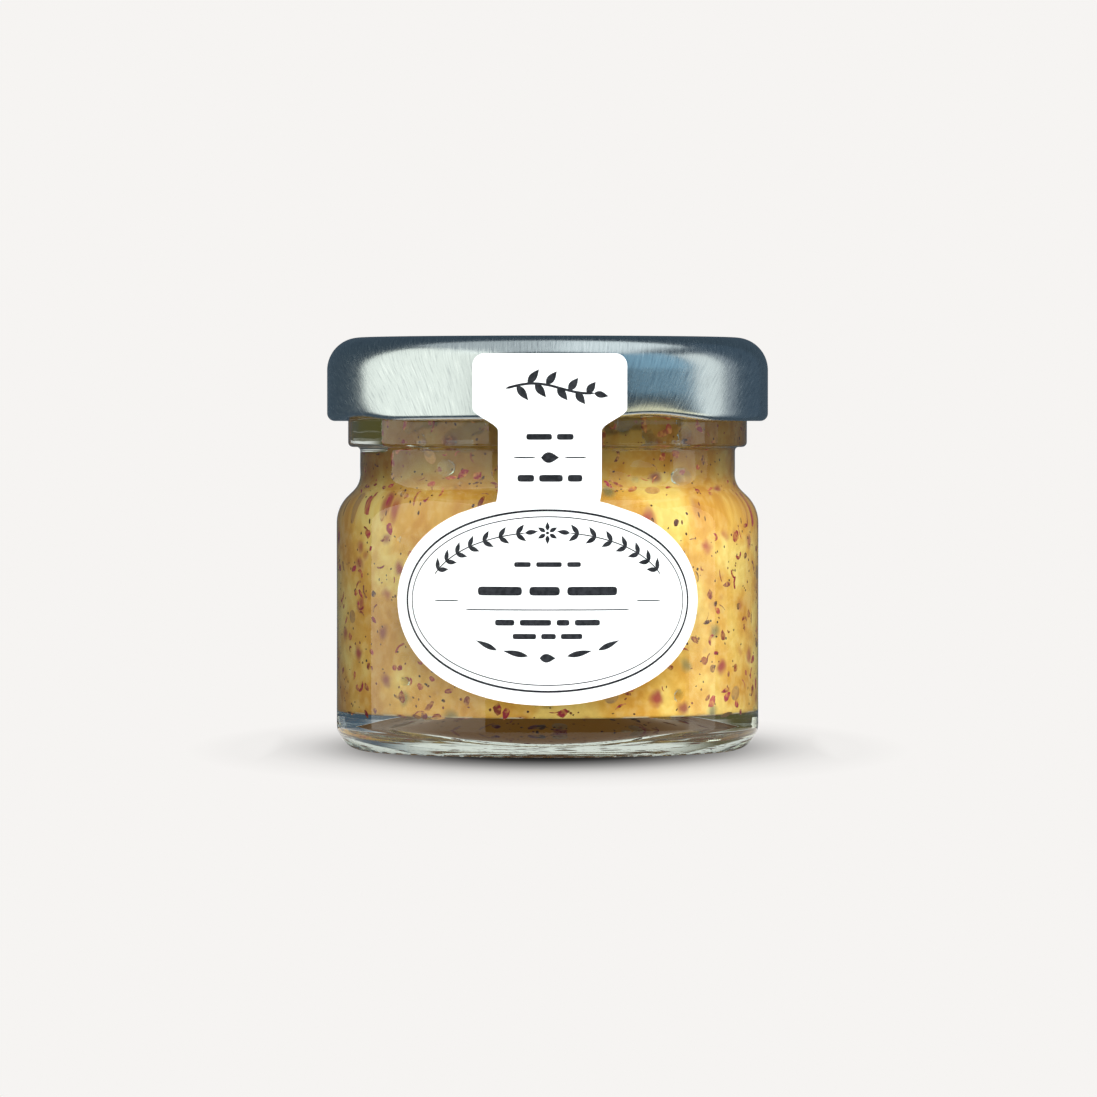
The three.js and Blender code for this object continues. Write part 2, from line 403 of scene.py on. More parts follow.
# The jar: flint glass, blown and moulded
jar = {
    "bodyRadius": 22.0, "bearingInner": 16.84, "heelRadius": 2.8,
    "pushUpFoot": 1.49, "footCurve": 35.5, "pushUpCrown": 4.35, "crownCurve": 1.21,  # the underside's hollow
    "shoulderStart": 23.7, "shoulderRound": 3.9, "shoulderHollow": 2.4, "shoulderAngle": 46,
    "neckRadius": 19.55, "beadRadius": 20.8, "beadBottom": 31.6, "beadTop": 34.8,
    "beadRound": 0.5, "beadFillet": 0.4, "finishRadius": 20.1, "lipTop": 42.3, "lipRound": 0.7,
    "wall": 3.6, "mouthRadius": 17.4, "neckBoreRadius": 16.9,
    "floorHeight": 4.0, "floorDome": 3.72, "floorCurve": 3.0, "floorRound": 0.2,
    "boreShoulderStart": 19.5, "boreShoulderEnd": 30.0,
    "notches": 58, "notchDepth": 0.28, "notchRing": (18.6, 18.9, 19.6, 20.2),  # stippled, what it stands on
    "waver": (0.012, 7.0), "neckWaver": (0.035, 4.2), "baseWaver": 0.01,  # the surface's waves: depth, size
    "waverOutside": 19.0, "waverBetween": (2.6, 34.9),  # the radius and the heights that they keep to
}
boreRadius = jar["bodyRadius"] - jar["wall"]


def boreProfile(step):
    # the inside, from the middle of the floor to the mouth
    floor, turn = jar["floorHeight"], jar["floorRound"]
    flat = boreRadius - turn
    dome = [(flat * share, floor + jar["floorDome"] * (1 - share ** jar["floorCurve"]))
            for share in steps(ceil(flat / step))]
    corner = arc((flat, floor + turn), turn, -90, 0, step)
    low, high = jar["boreShoulderStart"], jar["boreShoulderEnd"]
    shoulder = [(mix(boreRadius, jar["neckBoreRadius"], smooth(share, 0, 1)), mix(low, high, share))
                for share in steps(ceil((high - low) / step))]
    mouth = (jar["mouthRadius"], jar["lipTop"] - jar["lipRound"])
    return joined(dome, corner, line(corner[-1], shoulder[0], step), shoulder,
                  line(shoulder[-1], mouth, step))


def outsideProfile():
    body, neck, bead = jar["bodyRadius"], jar["neckRadius"], jar["beadRadius"]
    heel, turn, hollow = jar["heelRadius"], jar["shoulderRound"], jar["shoulderHollow"]
    start, angle = jar["shoulderStart"], jar["shoulderAngle"]
    fillet, soft, low, high = jar["beadFillet"], jar["beadRound"], jar["beadBottom"], jar["beadTop"]
    bearing, finish, mouth = jar["bearingInner"], jar["finishRadius"], jar["mouthRadius"]
    lip, lipStart = jar["lipRound"], jar["lipTop"] - jar["lipRound"]
    lean = radians(angle)
    roundEnd = body - turn * (1 - cos(lean))
    slope = (roundEnd - hollow * (1 - cos(lean)) - neck) / tan(lean)
    hollowTop = start + (turn + hollow) * sin(lean) + slope
    pushUp = []
    for evenly in steps(40):
        share = 1 - (1 - evenly) ** 1.5  # closer rows towards the ring
        pushUp.append((bearing * share, jar["pushUpFoot"] * (1 - share ** jar["footCurve"])
                       + jar["pushUpCrown"] * (1 - share ** jar["crownCurve"])))
    return joined(
        pushUp,
        line((bearing, 0), (body - heel, 0), 0.3),
        arc((body - heel, heel), heel, -90, 0, 0.28),
        line((body, heel), (body, start), 1.0),
        arc((body - turn, start), turn, 0, angle, 0.35),
        arc((neck + hollow, hollowTop), hollow, 180 + angle, 180, 0.25),
        line((neck, hollowTop), (neck, low - fillet), 0.5),
        arc((neck + fillet, low - fillet), fillet, 180, 90, 0.12),
        arc((bead - soft, low + soft), soft, -90, 0, 0.12),
        line((bead, low + soft), (bead, high - soft), 0.4),
        arc((bead - soft, high - soft), soft, 0, 90, 0.2),
        line((finish, high), (finish, lipStart), 1.5),
        arc((finish - lip, lipStart), lip, 0, 90, 0.3),
        arc((mouth + lip, lipStart), lip, 90, 180, 0.3),
    )


def baseWaver(x, y, radius, height):
    # the slight unevenness of the base, in and out, which fades towards the wall
    if height >= 9 or radius >= boreRadius - 0.4:
        return 0.0
    waves = noise.noise(Vector((x, y, 3.7)) / 7.0) + 0.3 * noise.noise(Vector((x, y, 9.1)) / 2.6)
    return jar["baseWaver"] * waves * smooth(height, 0.0, 0.5) * smooth(boreRadius - radius, 0.4, 1.6)


def glassPlace(radius, angle, height):
    # puts the mould's slight unevenness and the notched ring on the outside
    x, y, z = around(radius, angle, height)
    low, top = jar["waverBetween"]
    if radius > jar["waverOutside"] and low < height < top:
        high = smooth(height, 27.0, 30.0)
        amount, size = [mix(body, neck, high) for body, neck in zip(jar["waver"], jar["neckWaver"])]
        push = amount * noise.noise(Vector((x, y, z * 0.8)) / size) * smooth(height, low, 5.0)
        x, y, _ = around(radius + push, angle, height)
    z += baseWaver(x, y, radius, height)
    inner, full, fading, outer = jar["notchRing"]
    ring = smooth(radius, inner, full) * (1 - smooth(radius, fading, outer)) if height < 0.5 else 0.0
    if ring > 0:
        wave = cos(angle * jar["notches"] + 0.9 * noise.noise(Vector((x, y, 0)) / 5))
        z += jar["notchDepth"] * ring * smooth(wave, -0.35, 0.5)
    return (x, y, z)


def glassMaterial():
    # Soda-lime flint glass, blown in a mould: clear, faintly green where it is thick, wet-looking gloss
    material, tree = startMaterial("flint glass")
    swell = cloudy(tree, objectPlace(tree), 9)
    return finishSurface(material, linear("#F3FAF5"), 0.0, 0.5, {
        "IOR": 1.52, "Transmission Weight": 1.0, "Normal": bumped(tree, swell, 0.25, 0.03)})


def makeJar():
    profile = joined(outsideProfile(), boreProfile(0.9)[::-1])
    points, faces = lathe(profile, jar["notches"] * 8, glassPlace)
    piece = makePiece("glass-jar", points, faces, glassMaterial())
    piece.visible_shadow = False  # light goes through to the mustard
    piece.visible_diffuse = False
    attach(piece, "root")
    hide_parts("glass_jar")
    print("glass jar made", len(piece.data.polygons))


makeJar()

# The lid: a twist-off cap drawn from brushed tinplate
lid = {
    "top": 43.0, "bottom": 34.3, "radius": 23.0, "sheet": 0.3, "round": 3.4,
    "panelRadius": 16.6, "panelStep": 0.8, "panelDrop": 0.45,
    "curlRadius": 0.8, "curlTurn": 240,
    "lugs": 4, "lugAngle": 28, "lugHalfWidth": 21, "lugHeight": 3.0, "lugDent": 0.35, "lugLift": 0.5,
    "columns": 256,
    "drawn": 0.75,  # the skirt's grain is pulled this much shorter than on the flat sheet
}


def lugShare(angle):
    pitch = 360 / lid["lugs"]
    offset = (degrees(angle) - lid["lugAngle"] + pitch / 2) % pitch - pitch / 2
    if abs(offset) >= lid["lugHalfWidth"]:
        return 0.0
    return cos(offset / lid["lugHalfWidth"] * pi / 2) ** 2


def lidPlace(radius, angle, height):
    share = (height - lid["bottom"]) / lid["lugHeight"]
    if share < 1 and radius > lid["radius"] / 2:
        amount = lugShare(angle) * (1 - share) ** 2
        radius -= lid["lugDent"] * amount
        height += lid["lugLift"] * amount
    return around(radius, angle, height)


def lidProfile():
    top, radius, sheet, turn = lid["top"], lid["radius"], lid["sheet"], lid["round"]
    inner, outer, drop = lid["panelRadius"], lid["panelRadius"] + lid["panelStep"], lid["panelDrop"]
    corner = (radius - turn, top - turn)
    curlRadius, curlTurn = lid["curlRadius"], lid["curlTurn"]
    curl = (radius - curlRadius, lid["bottom"] + curlRadius)
    eased = [(mix(inner, outer, share), top - drop * (1 - smooth(share, 0, 1))) for share in steps(8)]
    outside = joined(
        arc(curl, curlRadius, -curlTurn, 0, 0.16),
        line((radius, curl[1]), (radius, corner[1]), 0.35),
        arc(corner, turn, 0, 90, 0.22),
        line((corner[0], top), eased[-1], 0.5),
        eased[::-1],
        line(eased[0], (0, top - drop), 2.5),
    )
    inside = joined(
        line((0, top - drop - sheet), (eased[0][0], eased[0][1] - sheet), 4.0),
        [(r, z - sheet) for r, z in eased[::2]],
        line((outer, top - sheet), (corner[0], top - sheet), 1.0),
        arc(corner, turn - sheet, 90, 0, 0.5),
        line((radius - sheet, corner[1]), (radius - sheet, curl[1]), 0.7),
        arc(curl, curlRadius - sheet, 0, -curlTurn, 0.2),
    )
    return inside, outside


def grain(tree, across, along, shift, detail, roughness):
    # streaks on the flat sheet, this wide and this long in millimetres
    sheet = addNode(tree, "ShaderNodeUVMap", {"uv_map": "blank"})[0]
    drawn = addNode(tree, "ShaderNodeMapping", {
        "Vector": sheet, "Scale": (1 / across, 1 / along, 1), "Location": shift})[0]
    return addNode(tree, "ShaderNodeTexNoise", {
        "Vector": drawn, "Scale": 1.0, "Detail": detail, "Roughness": roughness})[0]


def tinplateMaterial():
    # Tinplate, lacquered and brushed in straight lines before it was drawn: satin, streaky, cool grey
    material, tree = startMaterial("brushed tinplate")
    fine = grain(tree, 0.13, 1.3, (0, 0, 0), 2.0, 0.6)
    streak = grain(tree, 0.24, 2.6, (7, 3, 0), 1.0, 0.5)
    lines = mixValues(tree, 0.4, fine, streak)
    height = mixValues(tree, 0.4, lines, cloudy(tree, objectPlace(tree), 0.34))
    tone = coloured(tree, lines, [(0.36, "#B4BBBC"), (0.45, "#C6CDCC"), (0.56, "#CCD3D2"), (0.66, "#D9DFDD")])
    along = addNode(tree, "ShaderNodeTangent", {"direction_type": "UV_MAP", "uv_map": "blank"})
    return finishSurface(material, tone, mapped(tree, fine, 0.3, 0.7, 0.18, 0.28), 0.5, {
        "Metallic": 1.0, "Anisotropic": 0.5, "Normal": bumped(tree, height, 0.6, 0.018),
        "Tangent": along[0]})


def runLengths(profile):
    lengths = [0.0]
    for before, after in zip(profile, profile[1:]):
        lengths.append(lengths[-1] + dist(before, after))
    return lengths


def makeLid():
    inside, outside = lidProfile()
    profile = inside + outside
    points, faces = lathe(profile, lid["columns"], lidPlace)
    piece = makePiece("lid", points, faces, tinplateMaterial(), sharpAngle=50)
    # each point's place on the flat sheet, in millimetres, for the grain
    fromCentre = runLengths(inside) + runLengths(outside[::-1])[::-1]
    rim = lid["radius"] - lid["round"]
    blank = []
    for index, length in enumerate(fromCentre):
        length = length if length < rim else rim + (length - rim) * lid["drawn"]
        turns = 1 if index in (0, len(profile) - 1) else lid["columns"]
        for column in range(turns):
            angle = tau * column / lid["columns"]
            blank.append((length * sin(angle), -length * cos(angle)))
    layer = piece.data.uv_layers.new(name="blank")
    for loop in piece.data.loops:
        layer.data[loop.index].uv = blank[loop.vertex_index]
    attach(piece, "root")
    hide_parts("lid")
    print("lid made", len(piece.data.polygons))


makeLid()

# The mustard fills the jar and reaches just into the glass, so that no gap shows
mustard = {
    "top": 35.0, "mound": 0.5, "intoGlass": 0.05,
    "columns": 600, "rowStep": 0.245,
    "bubbles": 44, "bubbleSize": (0.25, 0.70),  # radius in mm
    "lowShare": 0.62, "lowBand": (4.6, 8.2), "highBand": (8.0, 31.0),  # most bubbles lie low
    "bubbleReach": 0.9, "behindShare": 0.4,  # radians to each side of the front, or for some of the back
    "pockets": [(0.86, 28.2, 1.15), (-2.3, 27.4, 1.0), (2.5, 29.0, 1.3), (-0.62, 29.6, 0.8)],
    # bubbleDark and pocketDark: how much painted shade fills the dents of bubbles and pockets
    "bubbleDepth": 0.55, "bubbleDark": 0.4, "pocketDark": 0.95,
    "drawnBackTo": (38, 56),  # degrees from the front, where the paste keeps to the neck's glass again
    "bareGlass": (-112, -62),  # degrees from the front, where no paste touches the bead at all
    "drawnDepth": 0.45, "drawnAbove": (30.9, 31.9), "outline": 0.05,  # how far, and from which height; and how wide the painted dark line of shade along each patch's edge is
    "neckPaintedShade": 0.85, "neckShadeBetween": (23.4, 30.4),  # how strongly, and between which heights, painted shade under the lid's overhang darkens and browns the paste
    "toGlass": 0.914,  # its refractive index, 1.39, against the glass's 1.52
    "seed": 11,
}


def mustardProfile():
    step = mustard["rowStep"]
    full = boreProfile(step)
    wall = [point for point in full if point[1] < mustard["top"] - step / 2]
    # the floor needs fewer rows than the wall
    sparse = [point for i, point in enumerate(wall)
              if point[0] > boreRadius - 3 or point[1] > 6 or i % 4 == 0]
    level, low = mustard["top"], jar["boreShoulderEnd"]
    share = (level - low) / (jar["lipTop"] - jar["lipRound"] - low)
    edge = mix(jar["neckBoreRadius"], jar["mouthRadius"], share)
    top = [(edge * (1 - inward), level + mustard["mound"] * smooth(inward, 0, 1)) for inward in steps(6)]
    return joined(sparse, top), len(sparse)


def profileNormals(profile):
    normals = []
    for i, _ in enumerate(profile):
        before = profile[max(0, i - 1)]
        after = profile[min(len(profile) - 1, i + 1)]
        along = (after[0] - before[0], after[1] - before[1])
        length = hypot(*along)
        normals.append((along[1] / length, -along[0] / length))
    return normals


def placeBubbles(rng):
    # each one's angle, height, radius, depth, stretch and darkness
    found = []
    small, large = mustard["bubbleSize"]
    reach, deep = mustard["bubbleReach"], mustard["bubbleDepth"]
    for _ in range(mustard["bubbles"]):
        band = mustard["lowBand"] if rng.random() < mustard["lowShare"] else mustard["highBand"]
        height = rng.uniform(*band)
        radius = mix(small, large, rng.random() ** 1.8)
        angle = rng.uniform(-reach, reach) + (pi if rng.random() < mustard["behindShare"] else 0.0)
        found.append((angle, height, radius, radius * deep, rng.uniform(0.8, 1.3), mustard["bubbleDark"]))
    for angle, height, radius in mustard["pockets"]:
        found.append((angle, height, radius, deep, 1.25, mustard["pocketDark"]))
    return found


def patch(x, y, z, size, seed):
    return noise.noise(Vector((x / size + seed, y / size, z / size)))


def pressBubbles(profile, wallRows, depth, shade):
    # bubbles against the glass dent the paste, and each dent gets painted shade
    columns = mustard["columns"]
    lengths = runLengths(profile)
    onWall = [i for i in range(wallRows) if profile[i][0] > 15]
    for angle, height, radius, deep, stretch, dark in placeBubbles(random.Random(mustard["seed"])):
        row = min(onWall, key=lambda i: abs(profile[i][1] - height))
        for i in range(max(1, row - 9), min(wallRows, row + 10)):
            up = (lengths[i] - lengths[row]) / radius
            ring = profile[i][0]
            reach = ceil(radius * stretch / (ring * tau / columns)) + 1
            middleColumn = round(angle / tau * columns)
            for j in range(middleColumn - reach, middleColumn + reach + 1):
                across = (j / columns * tau - angle) * ring / (radius * stretch)
                away = up * up + across * across
                if away < 1:
                    at = j % columns
                    bulge = sqrt(1 - away)
                    depth[i][at] = max(depth[i][at], deep * bulge + mustard["intoGlass"])
                    shade[i][at] = max(shade[i][at], dark * bulge)


def drawBack(profile, wallRows, depth, shade):
    # in the neck the paste touches the glass in patches and has drawn back between them; the drawn-back
    # parts, a line along each patch's edge, and the paste from the shoulder up under the lid's overhang get
    # painted shade
    columns = mustard["columns"]
    bareStart, bareEnd = mustard["bareGlass"]
    for i in range(wallRows):
        height = profile[i][1]
        if height < mustard["neckShadeBetween"][0]:
            continue
        high = smooth(height, *mustard["drawnAbove"])
        # painted shade under the lid's overhang, from the shoulder up, a little less on the bead
        brown = mustard["neckPaintedShade"] * smooth(height, *mustard["neckShadeBetween"])
        brown *= 1 - 0.15 * smooth(height, 31.4, 32.4)
        for j in range(columns):
            x, y, z = around(profile[i][0], tau * j / columns, height)
            wet = patch(x, y, z * 2.2, 2.7, 6.4) + 0.35 * patch(x, y, z * 1.5, 1.2, 9.0)
            # a painted dark line of shade along each patch's edge
            outline = high * (1 - min(1.0, abs(wet) / mustard["outline"]))
            aside = degrees(atan2(x, -y))
            drawn = smooth(wet, 0.0, 0.08) * (1 - smooth(abs(aside), *mustard["drawnBackTo"]))
            bare = smooth(aside, bareStart, bareStart + 6) * (1 - smooth(aside, bareEnd - 6, bareEnd))
            drawn = max(drawn, bare)
            depth[i][j] = max(depth[i][j], mustard["drawnDepth"] * drawn * high)
            shade[i][j] = max(shade[i][j], drawn * high * 0.9, outline, brown)


def mustardShape():
    profile, wallRows = mustardProfile()
    normals = profileNormals(profile)
    columns = mustard["columns"]
    depth = [[0.0] * columns for _ in profile]
    shade = [[0.0] * columns for _ in profile]
    pressBubbles(profile, wallRows, depth, shade)
    drawBack(profile, wallRows, depth, shade)
    points, tones = [], []
    for i, (radius, height) in enumerate(profile):
        for j in range(1 if i in (0, len(profile) - 1) else columns):
            out = mustard["intoGlass"] - depth[i][j] if i < wallRows else 0.0
            across, up = radius + normals[i][0] * out, height + normals[i][1] * out
            x, y, z = around(max(0.0, across), tau * j / columns, up)
            points.append((x, y, z + baseWaver(x, y, radius, height)))
            tones.append(shade[i][j])
    for end in (0, -1):
        points[end] = (0.0, 0.0, points[end][2])
    _, faces = lathe(profile, columns)
    return points, faces, tones


def deepStains(tree, place):
    # husks that lie deeper and show as soft stains: how strong, and in which colour
    warp = addNode(tree, "ShaderNodeTexNoise", {"Scale": 1 / (1.4 * mm), "Detail": 1.0, "Vector": place})
    shift = addNode(tree, "ShaderNodeVectorMath", {
        "operation": "SCALE", "Scale": 0.9 * mm, 0: warp["Color"]})[0]
    moved = addNode(tree, "ShaderNodeVectorMath", {"operation": "ADD", 0: place, 1: shift})[0]
    cells = addNode(tree, "ShaderNodeTexVoronoi", {"Scale": 1 / (3.1 * mm), "Vector": moved})
    spot = mapped(tree, cells["Distance"], 0.08, 0.36, 0.88, 0.0, "SMOOTHSTEP")
    pick = addNode(tree, "ShaderNodeSeparateColor", {0: cells["Color"]})
    strength = calculate(tree, "MULTIPLY", spot, calculate(tree, "LESS_THAN", pick[0], 0.68))
    hues = [(0.0, "#A0323E"), (0.45, "#B04A3A"), (0.7, "#9A4F46"), (0.85, "#7E7A50")]
    return strength, coloured(tree, pick[1], hues, "CONSTANT")


def pasteMaterial():
    # Wholegrain mustard, seed ground in vinegar: a moist opaque golden paste with blurred husks in its depth
    material, tree = startMaterial("mustard paste")
    place = objectPlace(tree)
    base = coloured(tree, cloudy(tree, place, 5.5, 2.0),
                    [(0.36, "#D79A38"), (0.50, "#E8B650"), (0.62, "#F6D976")])
    mottle = coloured(tree, cloudy(tree, place, 1.1, 2.0, 0.55),
                      [(0.36, "#CE8E32"), (0.5, "#E8B454"), (0.64, "#F5D88C")])
    strength, hue = deepStains(tree, place)
    colour = mixColours(tree, strength, mixColours(tree, 0.28, base, mottle), hue)
    # painted light: on the floor of the jar, where little light reaches it through the base, the paste is
    # painted a brighter, more golden orange; with a thin pale line round the edge
    onFloor = attribute(tree, "onFloor")
    colour = mixColours(tree, onFloor, colour, linear("#E29A16"))
    colour = mixColours(tree, attribute(tree, "paleEdge"), colour, linear("#F8EAC0"))
    # painted shade: darker and browner in the bubbles' dents and pockets, where the paste has drawn back from
    # the neck's glass, along its patches' edges there, and under the lid's overhang from the shoulder up
    colour = mixColours(tree, attribute(tree, "paintedShade"), colour, (0.32, 0.27, 0.18, 1.0), "MULTIPLY")
    grit = bumped(tree, cloudy(tree, place, 0.35, 2.0), mapped(tree, onFloor, 0.0, 1.0, 0.3, 0.02), 0.05)
    # wet paste bends light less than glass does, so that the glass mirrors it at a very flat angle
    angled = addNode(tree, "ShaderNodeFresnel", {"IOR": mustard["toGlass"]})[0]
    flat = mapped(tree, angled, 0.06, 1.0)
    colour = mixColours(tree, flat, colour, linear("#F4FAF5"))
    rough = mapped(tree, flat, 0.0, 1.0, 0.45, 0.03)
    return finishSurface(material, colour, rough, 0.12, {"Metallic": flat, "Normal": grit})


def paleEdge(x, y, z):
    # a broken line where the floor of the jar meets the wall
    above = z - jar["floorHeight"]
    if above <= -0.1 or above >= 0.12 or hypot(x, y) <= boreRadius - 0.25:
        return 0.0
    return smooth(patch(x, y, 0.0, 2.4, 5.0), -0.1, 0.15)


def makeMustard():
    points, faces, tones = mustardShape()
    piece = makePiece("mustard", points, faces, pasteMaterial())
    onFloor = [smooth(boreRadius - hypot(x, y), 0.1, 0.5) if z < 9 else 0.0 for x, y, z in points]
    edges = [paleEdge(x, y, z) for x, y, z in points]
    # tones is the painted shade of bubbles, drawn-back paste, patch edges and the neck under the lid
    for name, amounts in (("paintedShade", tones), ("onFloor", onFloor), ("paleEdge", edges)):
        layer = piece.data.attributes.new(name, "FLOAT", "POINT")
        layer.data.foreach_set("value", amounts)
    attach(piece, "root")
    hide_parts("mustard")
    print("mustard made", len(piece.data.polygons))
    return piece


mustardPiece = makeMustard()

# Husks, specks and seeds lie scattered in the paste where it meets the glass: so many on a square millimetre,
# sized between two scales of their length, width and thickness
scatteredHeights = (3.0, 34.6)
scattered = {
    "husks": {"Density": 0.20, "Smallest": (0.40, 0.50, 0.75), "Largest": (0.95, 1.55, 1.1), "Seed": 4,
              "Clump": 0.55},
    "specks": {"Density": 0.30, "Smallest": (0.14, 0.14, 0.6), "Largest": (0.34, 0.42, 1.0), "Seed": 9,
               "Clump": 0.2},
    "seeds": {"Density": 0.010, "Smallest": (1.3, 1.3, 1.0), "Largest": (1.8, 1.9, 1.1), "Seed": 21,
              "Clump": 0.2},
}


def flake(name, outline, dome, sink):
    # a low domed chip, closed underneath, about 1 mm across before it is sized
    count = len(outline)
    centreX, centreY = [sum(places) / count for places in zip(*outline)]
    points = [(centreX, centreY, dome)]
    for share in (0.6, 1.0):
        points += [(mix(centreX, x, share), mix(centreY, y, share), dome * (1 - share ** 2.5))
                   for x, y in outline]
    points.append((centreX, centreY, -sink))
    faces = []
    for i in range(count):
        after = (i + 1) % count
        faces.append((0, 1 + i, 1 + after))
        faces.append((1 + i, 1 + count + i, 1 + count + after, 1 + after))
        faces.append((1 + count + after, 1 + count + i, 2 * count + 1))
    return makePiece(name, points, faces)


def ovalOutline(count, rough, rng):
    reaches = [0.5 * (1 + rng.uniform(-rough, rough)) for _ in range(count)]
    return [(reach * cos(tau * i / count), reach * sin(tau * i / count)) for i, reach in enumerate(reaches)]


def hookOutline(turn, thick):
    # a curled sliver of seed coat
    outer, inner = [], []
    for i in range(7):
        angle = radians(mix(-turn / 2, turn / 2, i / 6))
        half = thick * sin(pi * (0.12 + 0.76 * i / 6))
        for side, edge in ((0.55 + half, outer), (0.55 - half, inner)):
            edge.append((side * cos(angle) - 0.45, side * sin(angle)))
    return outer + inner[::-1]


def scatterInputs(tree):
    kinds = {"Surface": "Geometry", "Density": "Float", "Clump": "Float", "Smallest": "Vector",
             "Largest": "Vector", "Lowest": "Float", "Highest": "Float", "Seed": "Int"}
    for label, kind in kinds.items():
        tree.interface.new_socket(label, in_out="INPUT", socket_type="NodeSocket" + kind)
    tree.interface.new_socket("Pieces", in_out="OUTPUT", socket_type="NodeSocketGeometry")
    return addNode(tree, "NodeGroupInput")


def scatterDensity(tree, given):
    # how many grow on each part of the surface: in clumps, and only between two heights
    place = addNode(tree, "GeometryNodeInputPosition")[0]
    clumps = mapped(tree, cloudy(tree, place, 4.0), 0.35, 0.65, 0.0, 1.9)
    height = addNode(tree, "ShaderNodeSeparateXYZ", {0: place})["Z"]
    above = calculate(tree, "GREATER_THAN", height, given["Lowest"])
    below = calculate(tree, "LESS_THAN", height, given["Highest"])
    density = mixValues(tree, given["Clump"], 1.0, clumps)
    for factor in (above, below, given["Density"]):
        density = calculate(tree, "MULTIPLY", density, factor)
    return density


def randomValue(tree, kind, seed, inputs):
    outputs = addNode(tree, "FunctionNodeRandomValue", {"data_type": kind, "Seed": seed, **inputs})
    return outputs[("FLOAT_VECTOR", "FLOAT", "INT").index(kind)]


def scatterTree(name, shapes, material):
    tree = bpy.data.node_groups.new(name, "GeometryNodeTree")
    given = scatterInputs(tree)
    seed = given["Seed"]
    spread = addNode(tree, "GeometryNodeDistributePointsOnFaces", {
        "distribute_method": "RANDOM", "Mesh": given["Surface"], "Density": scatterDensity(tree, given),
        "Seed": seed})
    spin = addNode(tree, "ShaderNodeCombineXYZ", {"Z": randomValue(tree, "FLOAT", seed, {3: tau})})
    turned = addNode(tree, "FunctionNodeRotateEuler", {
        "rotation_type": "EULER", "space": "LOCAL", "Rotation": spread["Rotation"],
        "Rotate By": spin[0]})
    kinds = addNode(tree, "GeometryNodeCollectionInfo", {
        "Collection": shapes, "Separate Children": True, "Reset Children": True})
    put = addNode(tree, "GeometryNodeInstanceOnPoints", {
        "Pick Instance": True, "Points": spread["Points"], "Instance": kinds[0],
        "Instance Index": randomValue(tree, "INT", seed, {5: len(shapes.objects) - 1}),
        "Rotation": turned[0],
        "Scale": randomValue(tree, "FLOAT_VECTOR", seed, {0: given["Smallest"], 1: given["Largest"]})})
    store = addNode(tree, "GeometryNodeStoreNamedAttribute", {
        "data_type": "FLOAT", "domain": "INSTANCE", "Name": "tone", "Geometry": put[0],
        "Value": randomValue(tree, "FLOAT", 77, {3: 1.0})})
    real = addNode(tree, "GeometryNodeRealizeInstances", {0: store[0]})
    finish = addNode(tree, "GeometryNodeSetMaterial", {"Material": material, "Geometry": real[0]})
    addNode(tree, "NodeGroupOutput", {0: finish[0]})
    return tree


def scatter(name, shapes, material):
    collection = bpy.data.collections.new(name + " shapes")
    for shape in shapes:
        scene.collection.objects.unlink(shape)
        collection.objects.link(shape)
    tree = scatterTree(name, collection, material)
    host = bpy.data.objects.new(name + " host", mustardPiece.data)
    scene.collection.objects.link(host)
    modifier = host.modifiers.new(name, "NODES")
    modifier.node_group = tree
    lowest, highest = scatteredHeights
    inputs = {**scattered[name], "Lowest": lowest * mm, "Highest": highest * mm}
    inputs["Density"] /= mm ** 2
    for item in tree.interface.items_tree:
        if item.name in inputs:
            modifier[item.identifier] = inputs[item.name]
    bpy.context.view_layer.update()
    evaluated = host.evaluated_get(bpy.context.evaluated_depsgraph_get())
    mesh = bpy.data.meshes.new_from_object(evaluated)
    mesh.name = name
    host.modifiers.remove(modifier)
    bpy.data.objects.remove(host)
    for shape in shapes:
        bpy.data.objects.remove(shape)
    bpy.data.collections.remove(collection)
    piece = bpy.data.objects.new(name, mesh)
    scene.collection.objects.link(piece)
    mesh.shade_smooth()
    mesh.set_sharp_from_angle(angle=radians(50))
    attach(piece, "root")
    print(name, "scattered", len(mesh.polygons))


def huskMaterial():
    # Broken coats of brown mustard seed, soaked in vinegar: crimson to brown, dull, with paste on them
    material, tree = startMaterial("seed husk")
    hues = [(0.0, "#962A36"), (0.22, "#AC3A48"), (0.40, "#8A3C2A"), (0.55, "#B85242"), (0.68, "#7C3644"),
            (0.80, "#A45C36"), (0.90, "#5C3A2E")]
    hue = coloured(tree, attribute(tree, "tone"), hues, "CONSTANT")
    film = mapped(tree, cloudy(tree, objectPlace(tree), 0.5), 0.42, 0.68, 0.0, 0.75)
    return finishSurface(material, mixColours(tree, film, hue, linear("#DDA24A")), 0.45, 0.15)


def speckMaterial():
    # Dust of dark seed coat, nearly black brown
    material, tree = startMaterial("seed speck")
    hues = [(0.0, "#5A3A22"), (0.3, "#7A4A26"), (0.55, "#4A2C22"), (0.75, "#8A4A30"), (0.9, "#3A3228")]
    return finishSurface(material, coloured(tree, attribute(tree, "tone"), hues, "CONSTANT"), 0.5, 0.15)


def seedMaterial():
    # Whole yellow mustard seed, soaked: waxy tan skin
    return plainMaterial("soaked seed", 0.9, 2.0, [(0.35, "#B98A4A"), (0.5, "#C99B55"), (0.65, "#A98655")],
                         0.4, 0.2)


def scatterGrain():
    rng = random.Random(5)
    husks = [flake("husk oval", ovalOutline(9, 0.12, rng), 0.07, 0.06),
             flake("husk chip", ovalOutline(7, 0.30, rng), 0.06, 0.06),
             flake("husk shard", ovalOutline(8, 0.22, rng), 0.06, 0.06),
             flake("husk hook", hookOutline(190, 0.10), 0.06, 0.05),
             flake("husk sliver", hookOutline(120, 0.07), 0.06, 0.05)]
    scatter("husks", husks, huskMaterial())
    scatter("specks", [flake("speck", ovalOutline(6, 0.2, rng), 0.05, 0.05)], speckMaterial())
    scatter("seeds", [flake("seed", ovalOutline(14, 0.03, rng), 0.05, 0.25)], seedMaterial())


scatterGrain()

